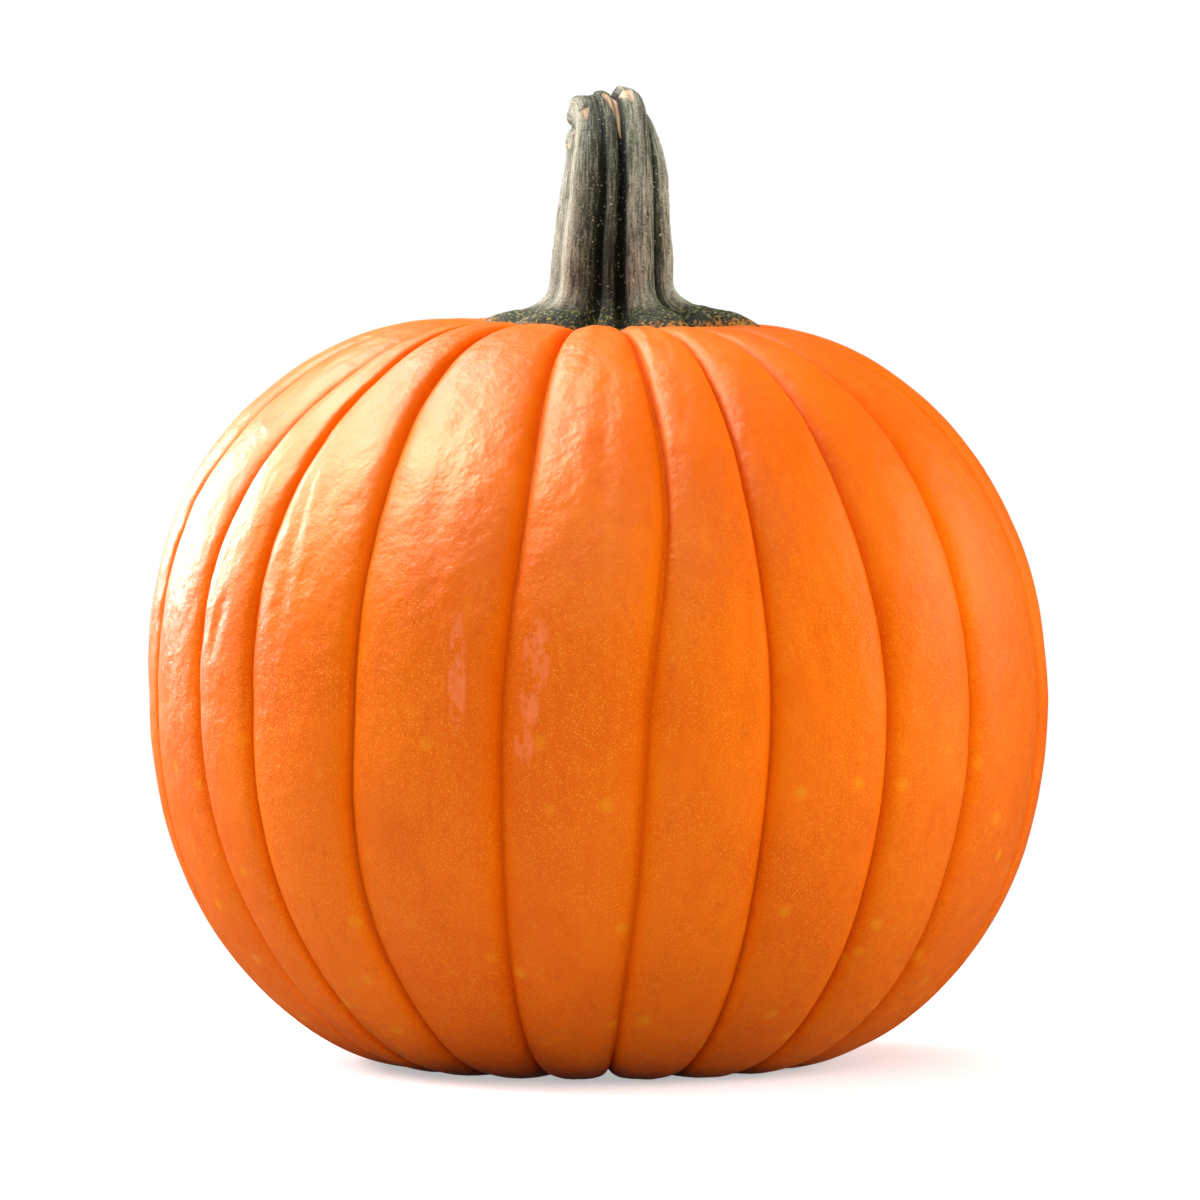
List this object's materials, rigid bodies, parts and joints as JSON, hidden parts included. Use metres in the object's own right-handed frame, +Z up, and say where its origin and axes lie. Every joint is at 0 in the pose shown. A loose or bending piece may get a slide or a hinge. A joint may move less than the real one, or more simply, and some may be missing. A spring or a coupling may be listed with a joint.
{
  "type": "pumpkin",
  "caption": "Ripe orange carving pumpkin with deep ribs and a dried, ridged stem handle that bends backwards, standing on its own settled base.",
  "frame": {"origin": "on the ground, under the middle of the bounding box", "axes": "+Z up along the stem, -Y is the front, which the stem bends away from, +X is to the right of the front"},
  "size_m": [0.303, 0.2966, 0.3278],
  "materials": {
    "rind": "waxy satin rind, deep orange with fine pale speckles",
    "stem_bark": "dry matt bark, grey-green with pale speckles and tan breaks"
  },
  "bodies": {
    "root": {"fruit": "rind", "stem": "stem_bark"}
  },
  "joints": []
}
